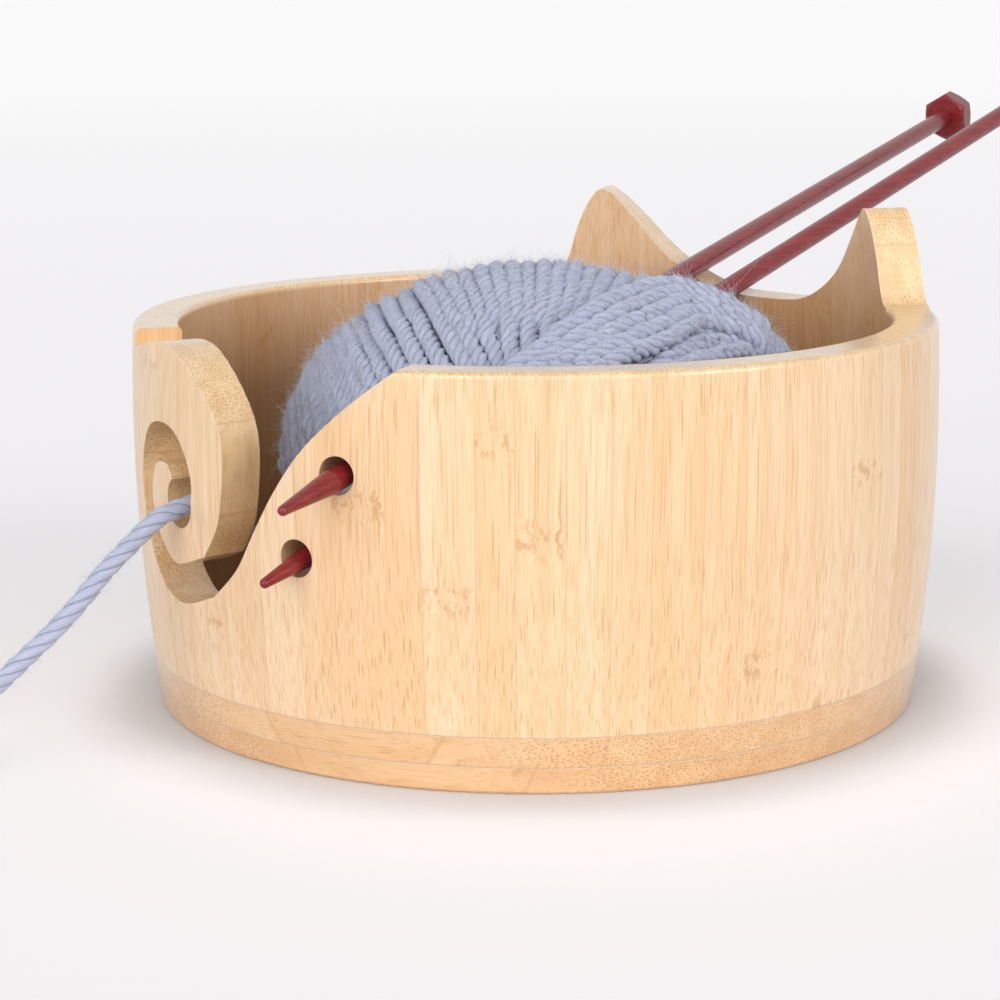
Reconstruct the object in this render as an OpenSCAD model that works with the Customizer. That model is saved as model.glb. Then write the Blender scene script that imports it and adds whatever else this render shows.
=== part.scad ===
// Bamboo yarn bowl with two ears, a spiral yarn guide and two needle holes,
// shown in use with a skein of yarn and a pair of knitting needles.
// The front of the bowl, with the guide, faces -Y. The ears stand at the back.
// Millimetres. The origin is the middle of the underside.

/* [Bowl] */
// Outer diameter at the rim
rim_d = 160; // [140:1:200]
// Height of the rim above the table
rim_h = 76.6; // [74:0.1:90]
// Outer diameter of the underside
base_d = 152.8; // [130:0.2:160]
// Radius of the curve that bellies the side
side_curve_r = 380; // [250:5:900]
// Thickness of the wall
wall = 9; // [6:0.5:12]
// Thickness of the lower disc of the base
lower_ply_t = 5.2; // [3:0.1:8]
// Thickness of the upper disc of the base
upper_ply_t = 5.7; // [3:0.1:8]
// Rounding of the two edges of the rim
rim_round = 1.2; // [0.5:0.1:2.5]
// Rounding of the bottom edge of the base
foot_round = 1; // [0.5:0.1:2.5]
// Plain staves on each side, between the front panels and the ears
side_staves = 9; // [6:1:12]
// Staves under the ears
ear_staves = 7; // [5:2:9]

/* [Ears] */
// Height of the ear tips above the rim
ear_rise = 19; // [10:0.5:30]
// Depth of the dip between the ears, below the rim
dip_depth = 3.5; // [1:0.5:8]
// Angle from the middle of the back to each ear tip
ear_tip_angle = 32; // [26:1:36]
// Angle from the middle of the back to the outer foot of each ear
ear_foot_angle = 42; // [40:1:46]

/* [Yarn guide] */
// Place of the spiral's middle along the curved outside, left of the front line
guide_x = -19; // [-20:0.5:-17]
// Depth of the spiral's middle below the rim
guide_drop = 29.6; // [28:0.1:31]
// Width of the spiral slot
slot_w = 7.6; // [6:0.1:9]
// Diameter of the round hole that ends the slot
end_hole_d = 9.6; // [8:0.1:11]

/* [Needle holes] */
// Diameter of the two needle holes
needle_hole_d = 7; // [6.8:0.1:8]
// Place of the upper hole along the curved outside, right of the front line
hole_1_x = 26.2; // [25:0.1:29]
// Depth of the upper hole below the rim
hole_1_drop = 19.2; // [17:0.1:24]
// Place of the lower hole along the curved outside
hole_2_x = 17.2; // [16:0.1:20]
// Depth of the lower hole below the rim
hole_2_drop = 35.1; // [32:0.1:38]

/* [Needles] */
// Diameter of the needle shafts
needle_d = 4.5; // [3:0.25:5]
// Length of a needle with its head
needle_len = 343; // [300:1:400]
// Length of the tapered tip
tip_len = 16; // [8:1:25]
// Diameter of the rounded point
tip_d = 1.9; // [1:0.1:3]
// Width of the head across its flats
head_w = 11; // [8:0.5:16]
// Length of the head along the needle
head_t = 6.5; // [5:0.5:12]
// Radial glue gap between the shaft and the socket in its head
head_fit = 0.05; // [0.02:0.01:0.1]
// How far the first tip stands out from the middle of the wall
tip_1_out = 22.5; // [15:0.5:30]
// How far the second tip stands out from the middle of the wall
tip_2_out = 14; // [10:0.5:30]
// Where the first needle rests on the back rim, as an angle from the middle
rest_1_angle = 14.2; // [11:0.1:17]
// Where the second needle rests on the back rim
rest_2_angle = 5.6; // [2:0.1:8]
// Air left under a resting needle
rest_gap = 0.05; // [0.02:0.01:0.3]

/* [Yarn] */
// Diameter of the yarn
yarn_d = 3.6; // [2.5:0.1:4]
// Diameter of the skein, seen from above
skein_d = 104; // [80:1:112]
// Height of the skein
skein_h = 76; // [50:1:90]
// Depth of the flat on which the skein sits
skein_flat = 1.5; // [0.5:0.5:4]
// Diameter of the twisted end bundle that swells one side of the skein
bundle_d = 52; // [40:1:60]
// Air round each needle where it passes through the skein
tunnel_gap = 0.6; // [0.4:0.1:1.5]
// Radius of the outer turn of the spare yarn on the table
coil_r = 26; // [22:1:36]
// Turns in the spare yarn
coil_turns = 3; // [1:0.25:4]
// Air between neighbouring turns of the spare yarn
coil_gap = 0.6; // [0.5:0.1:2]

/* [Hidden] */
$fn = 96;
SIDE_NAMES = [for (i = [1 : side_staves]) for (s = ["right", "left"]) str(s, "_stave_", i)];
EAR_NAMES = [for (i = [1 : ear_staves]) str("ear_stave_", i)];

bamboo = [0.93, 0.80, 0.58];
bamboo_dark = [0.88, 0.73, 0.50];
burgundy = [0.49, 0.13, 0.18];
yarn_blue = [0.63, 0.69, 0.81];

rim_r = rim_d / 2;
guide_z = rim_h - guide_drop;
hole_1_z = rim_h - hole_1_drop;
hole_2_z = rim_h - hole_2_drop;
base_r = base_d / 2;
floor_z = lower_ply_t + upper_ply_t;
// Everything cut downwards from above starts this far over the ears
over = 10;
cut_top = rim_h + ear_rise + over;

// The side is an arc through the bottom and top edges
chord = [rim_r - base_r, rim_h];
chord_len = norm(chord);
sagitta_leg = sqrt(side_curve_r * side_curve_r - chord_len * chord_len / 4);
side_centre = [
    (rim_r + base_r) / 2 - sagitta_leg * chord[1] / chord_len,
    rim_h / 2 + sagitta_leg * chord[0] / chord_len
];
// Outer radius of the bowl at height z
function side_r(z) = side_centre[0] + sqrt(pow(side_curve_r, 2) - pow(z - side_centre[1], 2));
// Inner radius of the bowl at height z
function inner_r(z) =
    side_centre[0] + sqrt(pow(side_curve_r - wall, 2) - pow(z - side_centre[1], 2));

// Angles round the bowl are measured from the front line, towards +X
panel_left = -30;
panel_split = 6;
panel_right = 30;
ear_start = 180 - ear_foot_angle;
side_step = (ear_start - panel_right) / side_staves;
ear_step = 2 * ear_foot_angle / ear_staves;
// A distance along the curved outside becomes an angle
function arc_angle(x) = x / rim_r * 180 / PI;

// A smooth curve through a list of points, with n steps between neighbours
function blend(a, b, c, d, t) =
    0.5 * (2 * b + (c - a) * t + (2 * a - 5 * b + 4 * c - d) * t * t
    + (3 * b - a - 3 * c + d) * t * t * t);
function smooth(p, n) = [
    for (i = [0 : len(p) - 2]) for (k = [0 : n - 1])
        blend(p[max(i - 1, 0)], p[i], p[i + 1], p[min(i + 2, len(p) - 1)], k / n),
    p[len(p) - 1]
];
function reversed(p) = [for (i = [len(p) - 1 : -1 : 0]) p[i]];
function unit(v) = v / norm(v);

// Outline of one ear from the middle of the dip: shares of its angles and heights
dip_and_flank = [[0, 0], [0.25, 0.02], [0.44, 0.14], [0.63, 0.37], [0.81, 0.72], [0.92, 0.92]];
outer_flank = [[0, 1], [0.23, 0.86], [0.45, 0.56], [0.63, 0.18], [0.78, 0.04], [1, 0]];
ear_curve = smooth(concat(
    [for (p = dip_and_flank) [p[0] * ear_tip_angle, p[1] * (ear_rise + dip_depth) - dip_depth]],
    [for (p = outer_flank)
        [ear_tip_angle + p[0] * (ear_foot_angle - ear_tip_angle), p[1] * ear_rise]]
), 5);
// Height of the back edge over the rim, at an angle from the middle of the back
function ear_z(angle) = lookup(angle, ear_curve);

// Radial distances between which the cutters run, and the steps between them
cut_from = 0.6 * rim_r;
cut_to = 1.15 * rim_r;
cut_slices = 3;

// Spiral slot: distance of its middle line from the spiral's middle, every eighth of a turn
slot_radii = [3, 6.3, 10.2, 12.8, 13.8, 14, 15.8, 17.8];
// The hook's outer edge goes on from the slot, up to the rim
hook_radii = [14, 17, 23.8, 29.1, 36];
eighth = 45;
function spoke(r, angle) = [guide_x + r * cos(angle), guide_z + r * sin(angle)];
slot_line = smooth([for (i = [0 : len(slot_radii) - 1]) spoke(slot_radii[i], i * eighth)], 6);
function line_normal(p, i) =
    let (d = unit(p[min(i + 1, len(p) - 1)] - p[max(i - 1, 0)])) [-d[1], d[0]];
function shifted(p, off) = [for (i = [0 : len(p) - 1]) p[i] + off * line_normal(p, i)];
hook_side = shifted(slot_line, slot_w / 2);
outer_side = shifted(slot_line, -slot_w / 2);
hook_start = (len(slot_radii) - 1) * eighth;
hook_edge = smooth(concat(
    [hook_side[len(hook_side) - 1]],
    [for (i = [1 : len(hook_radii) - 1]) spoke(hook_radii[i], hook_start + i * eighth)]
), 6);
// The long slope opposite the hook, from the slot up to the rim, from the spiral's middle
slope_points = [[21, -10], [26, -2.5], [31.5, 6], [38, 14.3], [47, 22.4], [56, 29], [60, 31]];
slope_edge = smooth(concat(
    [outer_side[len(outer_side) - 1]],
    [for (p = slope_points) [guide_x + p[0], guide_z + p[1]]]
), 6);

// Places on the wall
function wall_mid(x, z) =
    let (a = arc_angle(x), r = (side_r(z) + inner_r(z)) / 2) [r * sin(a), -r * cos(a), z];
function back_rest(angle) =
    let (
        step = 1,
        arc = 2 * PI * rim_r * step / 360,
        slope = (ear_z(angle + step) - ear_z(angle)) / arc,
        lift = needle_d / 2 * sqrt(1 + slope * slope) + rest_gap,
        r = inner_r(rim_h)
    )
    [-r * sin(angle), r * cos(angle), rim_h + ear_z(angle) + lift];
hole_1 = wall_mid(hole_1_x, hole_1_z);
hole_2 = wall_mid(hole_2_x, hole_2_z);
line_1 = unit(back_rest(rest_1_angle) - hole_1);
line_2 = unit(back_rest(rest_2_angle) - hole_2);
// Where each needle's point lies
point_1 = hole_1 - tip_1_out * line_1;
point_2 = hole_2 - tip_2_out * line_2;
// Depth to which a shaft is let into its head
socket_depth = head_t / 2;

// The skein stands on the floor of the bowl, with its flat cut off
skein_half_h = (skein_h + skein_flat) / 2;
skein_z = floor_z - skein_flat + skein_half_h;
// Middle of the twisted end bundle, and how far it sinks into the top of the skein
bundle_lean = [19.5, 19];
bundle_sink = 4;
// Radius of the skein at height z
function skein_r(z) = skein_d / 2 * sqrt(1 - pow((z - skein_z) / skein_half_h, 2));

// The yarn leaves the skein at this height and angle, and runs straight out through
// the slot's end hole, a little below its middle, to just outside the wall
lead_z = 56;
lead_angle = -11;
lead_drop = 1.4;
lead_out = 1;
lead_from = [skein_r(lead_z) * sin(lead_angle), -skein_r(lead_z) * cos(lead_angle), lead_z];
lead_to = let (a = arc_angle(slot_line[0][0]), r = side_r(slot_line[0][1]) + lead_out)
    [r * sin(a), -r * cos(a), slot_line[0][1] - lead_drop];
lead_dir = unit(lead_to - lead_from);
coil_centre = [-64, -136];
// Direction from the coil's middle to the place where the tail joins it
coil_entry_angle = -20;
coil_z = yarn_d / 2 + 0.05;
coil_entry = [
    coil_centre[0] + coil_r * cos(coil_entry_angle),
    coil_centre[1] + coil_r * sin(coil_entry_angle),
    coil_z
];
coil_heading = [sin(coil_entry_angle), -cos(coil_entry_angle), 0];
tail_points = [
    [-19, -88, 40], [-21, -93, 35], [-22.5, -97.5, 30], [-24, -102, 25.5], [-26, -107, 21],
    [-28, -112, 16.5], [-30, -117.5, 12], [-32, -123, 7.8], [-34.2, -129.2, 4.2],
    [-36.4, -135.6, 2.4]
];
tail_route = concat(
    [lead_to, lead_to + yarn_d * lead_dir],
    tail_points,
    [coil_entry - yarn_d * coil_heading]
);
rings_per_turn = 24;
coil_pitch = yarn_d + coil_gap;
coil_rings = round(coil_turns * rings_per_turn);
coil_spiral = [
    for (i = [0 : coil_rings])
        let (turn = i / rings_per_turn, a = coil_entry_angle - 360 * turn, r = coil_r - coil_pitch * turn)
        [coil_centre[0] + r * cos(a), coil_centre[1] + r * sin(a), coil_z]
];
coil_last = coil_spiral[len(coil_spiral) - 1];
coil_route = concat(
    [coil_entry - yarn_d * coil_heading],
    coil_spiral,
    [coil_last + yarn_d * unit(coil_last - coil_spiral[len(coil_spiral) - 2])]
);
// Least air between points of the coil that are at least half a turn apart
coil_least = min([
    for (i = [0 : len(coil_spiral) - 1])
        for (k = [i + rings_per_turn / 2 : len(coil_spiral) - 1])
            norm(coil_spiral[i] - coil_spiral[k])
]) - yarn_d;
echo(coil_least_gap = coil_least);

// Corner left over when an edge is rounded with radius q
module edge_waste(q) {
    difference() {
        square(q + 1);
        circle(q);
    }
}

// Section of the bowl between two heights, solid out to the side arc less an inset
module side_section(z0, z1, inset) {
    intersection() {
        translate(side_centre) circle(side_curve_r - inset, $fn = 360);
        translate([0, z0]) square([rim_d, z1 - z0]);
    }
}

// Section of the wall, from the base up to z1
module wall_section(z1) {
    difference() {
        side_section(floor_z, z1, 0);
        translate(side_centre) circle(side_curve_r - wall, $fn = 360);
    }
}

// Section of the wall with its rounded rim
module rimmed_section() {
    q = rim_round;
    difference() {
        wall_section(rim_h);
        translate([side_r(rim_h - q) - q, rim_h - q]) edge_waste(q);
        translate([inner_r(rim_h - q) + q, rim_h - q]) mirror([1, 0]) edge_waste(q);
    }
}

// Turns a section about the bowl's middle from one angle to another
module turned(from, to) {
    rotate([0, 0, from - 90]) rotate_extrude(angle = to - from, $fn = 240) children();
}

// Cuts a flat outline through the wall along lines that all meet the bowl's middle line.
// The outline is in angle round the bowl and height, and faces the given direction.
module radial_cut(facing, outline) {
    flat = [for (p = outline) [cut_from * tan(p[0]), p[1]]];
    rotate([0, 0, facing]) translate([0, -cut_from, 0]) rotate([90, 0, 0])
        linear_extrude(height = cut_to - cut_from, scale = [cut_to / cut_from, 1], slices = cut_slices)
            polygon(flat);
}

// The same for an outline given as distance along the curved outside and height
module guide_cut(outline) {
    middle = arc_angle(guide_x);
    radial_cut(middle, [for (p = outline) [arc_angle(p[0]) - middle, p[1]]]);
}

// Mouth of the guide, between the hook and the long slope, open at the top
module mouth_cut() {
    last_hook = hook_edge[len(hook_edge) - 1];
    last_slope = slope_edge[len(slope_edge) - 1];
    guide_cut(concat(
        hook_edge,
        [[last_hook[0], cut_top], [last_slope[0], cut_top]],
        reversed(slope_edge)
    ));
}

// The spiral slot and the round hole at its inner end
module slot_cut() {
    guide_cut(concat(outer_side, reversed(hook_side)));
    radial_hole(slot_line[0][0], slot_line[0][1], end_hole_d);
}

// Round hole straight towards the bowl's middle line
module radial_hole(x, z, d) {
    rotate([0, 0, arc_angle(x)]) translate([0, -cut_to, z]) rotate([-90, 0, 0])
        cylinder(d = d, h = cut_to - cut_from);
}

// Front panel with the spiral yarn guide
module spiral_panel() {
    color(bamboo) difference() {
        turned(panel_left, panel_split) rimmed_section();
        slot_cut();
        mouth_cut();
    }
}

// Front panel with the long slope and the two needle holes
module needle_panel() {
    color(bamboo) difference() {
        turned(panel_split, panel_right) rimmed_section();
        mouth_cut();
        radial_hole(hole_1_x, hole_1_z, needle_hole_d);
        radial_hole(hole_2_x, hole_2_z, needle_hole_d);
    }
}

// Plain stave number i, counted from the front panels; side is 1 on the right, -1 on the left
module side_stave(i, side) {
    a = side * (panel_right + (i - 1) * side_step);
    b = side * (panel_right + i * side_step);
    color(i % 2 == 0 ? bamboo : bamboo_dark) turned(min(a, b), max(a, b)) rimmed_section();
}

// Stave number i under the ears, cut along the back outline
module ear_stave(i) {
    a = ear_start + (i - 1) * ear_step;
    half = [for (p = ear_curve) [p[0], rim_h + p[1]]];
    beyond = ear_foot_angle + 4;
    outline = concat(
        [[-beyond, cut_top], [-beyond, rim_h]],
        reversed([for (p = half) [-p[0], p[1]]]),
        [for (k = [1 : len(half) - 1]) half[k]],
        [[beyond, rim_h], [beyond, cut_top]]
    );
    color(i % 2 == 0 ? bamboo_dark : bamboo) difference() {
        turned(a, a + ear_step) wall_section(rim_h + ear_rise + 1);
        radial_cut(180, outline);
    }
}

// Lower disc of the base, with a rounded foot
module base_lower_ply() {
    q = foot_round;
    color(bamboo_dark) rotate_extrude($fn = 240) difference() {
        side_section(0, lower_ply_t, 0);
        translate([side_r(q) - q, q]) mirror([0, 1]) edge_waste(q);
    }
}

// Upper disc of the base, the floor that the staves stand on
module base_upper_ply() {
    color(bamboo) rotate_extrude($fn = 240) side_section(lower_ply_t, floor_z, 0);
}

// Sets something drawn along +Z onto a line, with its origin at a point
module along(point, line) {
    translate(point) rotate([0, acos(line[2]), atan2(line[1], line[0])]) children();
}

// Needle shaft: rounded point, taper and a plain rod into the head
module needle_shaft(point, line) {
    color(burgundy) along(point, line) rotate_extrude() union() {
        intersection() {
            translate([0, tip_d / 2]) circle(d = tip_d);
            square(tip_d);
        }
        polygon([
            [0, tip_d / 2], [tip_d / 2, tip_d / 2], [needle_d / 2, tip_len],
            [needle_d / 2, needle_len - socket_depth], [0, needle_len - socket_depth]
        ]);
    }
}

// Needle head: a six-sided knob with softened ends and a socket for the shaft
module needle_head(point, line) {
    corner_r = head_w / 2 / cos(30);
    soft = head_t / 5;
    color(burgundy) along(point, line) translate([0, 0, needle_len - head_t]) difference() {
        intersection() {
            cylinder(r = corner_r, h = head_t, $fn = 6);
            rotate_extrude() polygon([
                [0, 0], [corner_r - soft, 0], [corner_r, soft],
                [corner_r, head_t - soft], [corner_r - soft, head_t], [0, head_t]
            ]);
        }
        translate([0, 0, -1]) cylinder(d = needle_d + 2 * head_fit, h = socket_depth + 1);
    }
}

// Room for a needle through the skein
module tunnel(point, line) {
    along(point, line) cylinder(d = needle_d + 2 * tunnel_gap, h = needle_len / 2);
}

// The piece of yarn between the skein and the outside of the guide
module lead_rod() {
    along(lead_from, lead_dir) cylinder(d = yarn_d, h = norm(lead_to - lead_from), $fn = 48);
}

// Skein: a flattened ball with a swelling where the end bundle lies, standing on the floor
module yarn_skein() {
    steps = 24;
    bundle_z = skein_z + skein_half_h - bundle_d / 2 - bundle_sink;
    color(yarn_blue) difference() {
        union() {
            translate([0, 0, skein_z]) rotate_extrude() polygon([
                for (i = [0 : steps])
                    let (a = -90 + 180 * i / steps)
                    [max(skein_d / 2 * cos(a), 0), skein_half_h * sin(a)]
            ]);
            translate([bundle_lean[0], bundle_lean[1], bundle_z]) sphere(d = bundle_d);
        }
        translate([0, 0, floor_z - over]) cylinder(d = skein_d, h = over);
        tunnel(point_1, line_1);
        tunnel(point_2, line_2);
        lead_rod();
    }
}

module yarn_lead() {
    color(yarn_blue) lead_rod();
}

// One closed tube along a route that is nowhere upright, with flat ends square to it
module tube(route, d, sides) {
    last = len(route) - 1;
    heading = [for (i = [0 : last]) unit(route[min(i + 1, last)] - route[max(i - 1, 0)])];
    rings = [
        for (i = [0 : last])
            let (across = unit(cross(heading[i], [0, 0, 1])), up = cross(across, heading[i]))
            for (k = [0 : sides - 1])
                let (a = 360 * (k + 0.5) / sides)
                route[i] + d / 2 * (cos(a) * across + sin(a) * up)
    ];
    walls = [
        for (i = [0 : last - 1]) for (k = [0 : sides - 1])
            let (a = i * sides + k, b = i * sides + (k + 1) % sides)
            each [[a, b, b + sides], [a, b + sides, a + sides]]
    ];
    start_cap = [for (k = [1 : sides - 2]) [0, k + 1, k]];
    end = last * sides;
    end_cap = [for (k = [1 : sides - 2]) [end, end + k, end + k + 1]];
    polyhedron(points = rings, faces = concat(walls, start_cap, end_cap), convexity = 6);
}

// The yarn that falls from the guide to the table
module yarn_tail() {
    color(yarn_blue) tube(tail_route, yarn_d, 8);
}

// The spare yarn, wound flat on the table as one unbroken length
module yarn_coil() {
    color(yarn_blue) tube(coil_route, yarn_d, 8);
}

base_lower_ply();
base_upper_ply();
spiral_panel();
needle_panel();
for (i = [1 : side_staves])
    side_stave(i, 1);
for (i = [1 : side_staves])
    side_stave(i, -1);
for (i = [1 : ear_staves])
    ear_stave(i);
needle_shaft(point_1, line_1);  // needle_1_shaft
needle_head(point_1, line_1);  // needle_1_head
needle_shaft(point_2, line_2);  // needle_2_shaft
needle_head(point_2, line_2);  // needle_2_head
yarn_skein();
yarn_lead();
yarn_tail();
yarn_coil();
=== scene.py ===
import logging
import math
from dataclasses import dataclass
from enum import Enum
from typing import Iterable, Optional, Sequence, Union

import bpy
import numpy as np
from mathutils import Matrix, Vector


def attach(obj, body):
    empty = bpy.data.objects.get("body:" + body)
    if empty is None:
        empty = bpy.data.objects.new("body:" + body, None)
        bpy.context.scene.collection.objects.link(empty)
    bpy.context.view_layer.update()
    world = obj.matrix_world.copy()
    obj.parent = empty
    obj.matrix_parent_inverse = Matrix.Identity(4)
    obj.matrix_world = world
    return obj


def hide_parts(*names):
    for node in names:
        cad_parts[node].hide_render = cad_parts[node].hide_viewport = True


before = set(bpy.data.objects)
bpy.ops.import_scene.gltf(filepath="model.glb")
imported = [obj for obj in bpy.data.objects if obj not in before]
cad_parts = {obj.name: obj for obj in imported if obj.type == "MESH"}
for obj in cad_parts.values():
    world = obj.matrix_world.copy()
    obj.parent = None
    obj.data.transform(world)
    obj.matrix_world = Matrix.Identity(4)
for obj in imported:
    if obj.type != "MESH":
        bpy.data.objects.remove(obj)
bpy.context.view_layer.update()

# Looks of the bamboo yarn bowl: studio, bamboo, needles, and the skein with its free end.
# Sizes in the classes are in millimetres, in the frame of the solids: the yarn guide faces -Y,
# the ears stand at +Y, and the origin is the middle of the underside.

log = logging.getLogger("yarn_bowl")

MM = 0.001
BOWL_BODY = "bowl"
PLY_PLACE = "ply_place"
Colour = tuple[float, float, float]
Point = tuple[float, float, float]
Socket = bpy.types.NodeSocket
Feed = Union[Socket, float, Sequence[float]]


class GrainRun(Enum):
    """Which way the fibres of a bamboo piece run."""

    UPRIGHT = "upright"
    LEVEL = "level"


def unit(vector: Sequence[float]) -> np.ndarray:
    """The vector with a length of one."""
    v = np.asarray(vector, float)
    return v / np.linalg.norm(v, axis=-1, keepdims=True)


def soft_step(value: np.ndarray, low: float, high: float) -> np.ndarray:
    """A soft step from 0 at low to 1 at high."""
    t = np.clip((value - low) / (high - low), 0.0, 1.0)
    return t * t * (3 - 2 * t)


def place_object(name: str, data: bpy.types.ID) -> bpy.types.Object:
    """Adds an object to the scene.

    Args:
        name: its name.
        data: its mesh, lamp or camera.

    Returns:
        The object.
    """
    obj = bpy.data.objects.new(name, data)
    bpy.context.scene.collection.objects.link(obj)
    return obj


class NodeSheet:
    """The node sheet of a material or world, and short calls for the nodes that it uses."""

    def __init__(self, owner: Union[bpy.types.Material, bpy.types.World]) -> None:
        """Starts an empty sheet.

        Args:
            owner: what the sheet belongs to.
        """
        self.owner = owner
        owner.use_nodes = True
        self.tree = owner.node_tree
        self.tree.nodes.clear()

    def feed(self, socket: Socket, value: Feed) -> None:
        """Links a socket to another, or sets its value.

        Args:
            socket: the input to fill.
            value: an output socket, a number, a vector or a colour.
        """
        if isinstance(value, bpy.types.NodeSocket):
            self.tree.links.new(value, socket)
        elif socket.type == "RGBA" and len(value) == 3:
            socket.default_value = (*value, 1.0)
        else:
            socket.default_value = value

    def node(self, kind: str, inputs: Optional[dict[Union[str, int], Feed]] = None,
             **settings: object) -> bpy.types.Node:
        """Adds a node.

        Args:
            kind: the node's type without "ShaderNode".
            inputs: what goes into its named inputs.
            settings: its properties.

        Returns:
            The new node.
        """
        made = self.tree.nodes.new("ShaderNode" + kind)
        for key, value in settings.items():
            setattr(made, key, value)
        for key, value in (inputs or {}).items():
            self.feed(made.inputs[key], value)
        return made

    def math(self, operation: str, *values: Feed, clamp: bool = False) -> Socket:
        """A Math node.

        Args:
            operation: its operation.
            values: its inputs in order.
            clamp: keeps the answer between 0 and 1.

        Returns:
            The answer's socket.
        """
        made = self.node("Math", operation=operation, use_clamp=clamp)
        for socket, value in zip(made.inputs, values):
            self.feed(socket, value)
        return made.outputs[0]

    def times(self, first: Feed, second: Feed) -> Socket:
        """The product of two numbers."""
        return self.math("MULTIPLY", first, second)

    def plus(self, first: Feed, second: Feed) -> Socket:
        """The sum of two numbers."""
        return self.math("ADD", first, second)

    def fade(self, value: Feed, low: float, high: float, to_low: float = 0.0, to_high: float = 1.0) -> Socket:
        """A soft step.

        Args:
            value: what is tested.
            low: where the step starts.
            high: where it ends.
            to_low: answer at the start.
            to_high: answer at the end.

        Returns:
            The answer's socket.
        """
        ends = {"Value": value, "From Min": low, "From Max": high, "To Min": to_low, "To Max": to_high}
        return self.node("MapRange", ends, interpolation_type="SMOOTHSTEP").outputs[0]

    def bell(self, value: Feed, middle: Feed, width: float) -> Socket:
        """A bell curve that is 1 at its middle."""
        off = self.math("DIVIDE", self.math("SUBTRACT", value, middle), width)
        return self.math("EXPONENT", self.times(self.times(off, off), -1.0))

    def vector(self, x: Feed, y: Feed, z: Feed) -> Socket:
        """Three numbers as a vector."""
        return self.node("CombineXYZ", {"X": x, "Y": y, "Z": z}).outputs[0]

    def dot(self, first: Feed, second: Feed) -> Socket:
        """How far two directions agree, from -1 to 1."""
        return self.node("VectorMath", {0: first, 1: second}, operation="DOT_PRODUCT").outputs["Value"]

    def threads(self, u: Feed, v: Feed, gap: float, thin: float, thick: float) -> Socket:
        """Threads that run along the third axis.

        Args:
            u: place across them.
            v: place across them, the other way.
            gap: distance between them.
            thin: radius within which a thread is whole, as a share of the gap.
            thick: radius at which it ends.

        Returns:
            1 inside a strong thread, less in a weak one and 0 between them.
        """
        at = self.vector(self.math("DIVIDE", u, gap), self.math("DIVIDE", v, gap), 0.0)
        inputs = {"Vector": at, "Scale": 1.0, "Randomness": 0.85}
        cells = self.node("TexVoronoi", inputs, voronoi_dimensions="2D")
        weight = self.node("SeparateColor", {"Color": cells.outputs["Color"]}).outputs[0]
        return self.times(self.fade(cells.outputs["Distance"], thin, thick, 1.0, 0.0),
                          self.fade(weight, 0.0, 0.8, 0.35, 1.0))

    def noise(self, at: Sequence[Feed], fine: Sequence[float], shift: Feed = 0.0, detail: float = 2.0,
              roughness: float = 0.5) -> Socket:
        """Noise from 0 to 1.

        Args:
            at: the place, as three numbers.
            fine: the number of lumps in a millimetre, along each of the three.
            shift: moves the noise along the third.
            detail: number of finer layers.
            roughness: their share.

        Returns:
            The noise's socket.
        """
        x, y, z = (self.times(value, scale) for value, scale in zip(at, fine))
        inputs = {"Vector": self.vector(x, y, self.plus(z, shift)), "Scale": 1.0, "Detail": detail,
                  "Roughness": roughness}
        return self.node("TexNoise", inputs).outputs["Fac"]

    def chance(self, value: Feed, salt: float) -> Socket:
        """A random number from 0 to 1 for each value."""
        at = self.plus(self.times(value, 1.37), salt)
        return self.node("TexWhiteNoise", {"W": at}, noise_dimensions="1D").outputs["Value"]

    def mix(self, share: Feed, first: Feed, second: Feed, blend: str = "MIX") -> Socket:
        """Mixes two colours.

        Args:
            share: share of the second, from 0 to 1.
            first: the first colour.
            second: the second colour.
            blend: how they mix.

        Returns:
            The mixed colour's socket.
        """
        made = self.node("Mix", data_type="RGBA", blend_type=blend)
        for index, value in ((0, share), (6, first), (7, second)):
            self.feed(made.inputs[index], value)
        return made.outputs[2]

    def place(self) -> tuple[Socket, Socket, Socket]:
        """The shaded point in millimetres, as three sockets."""
        inputs = {0: self.node("TexCoord").outputs["Object"], "Scale": 1 / MM}
        scaled = self.node("VectorMath", inputs, operation="SCALE").outputs[0]
        return tuple(self.node("SeparateXYZ", {"Vector": scaled}).outputs)

    def seen(self) -> Socket:
        """Tells what the camera sees, straight or in a shiny or clear surface.

        Returns:
            1 there and 0 elsewhere.
        """
        rays = self.node("LightPath").outputs
        direct = self.math("MAXIMUM", rays["Is Camera Ray"], rays["Is Glossy Ray"])
        return self.math("MAXIMUM", direct, rays["Is Transmission Ray"])

    def surface(self, **inputs: Feed) -> bpy.types.Material:
        """Ends the sheet with a Principled BSDF.

        Args:
            inputs: its inputs, with underscores for blanks.

        Returns:
            The material.
        """
        shader = self.node("BsdfPrincipled", {k.replace("_", " "): v for k, v in inputs.items()})
        self.node("OutputMaterial", {"Surface": shader.outputs[0]})
        return self.owner


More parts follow.
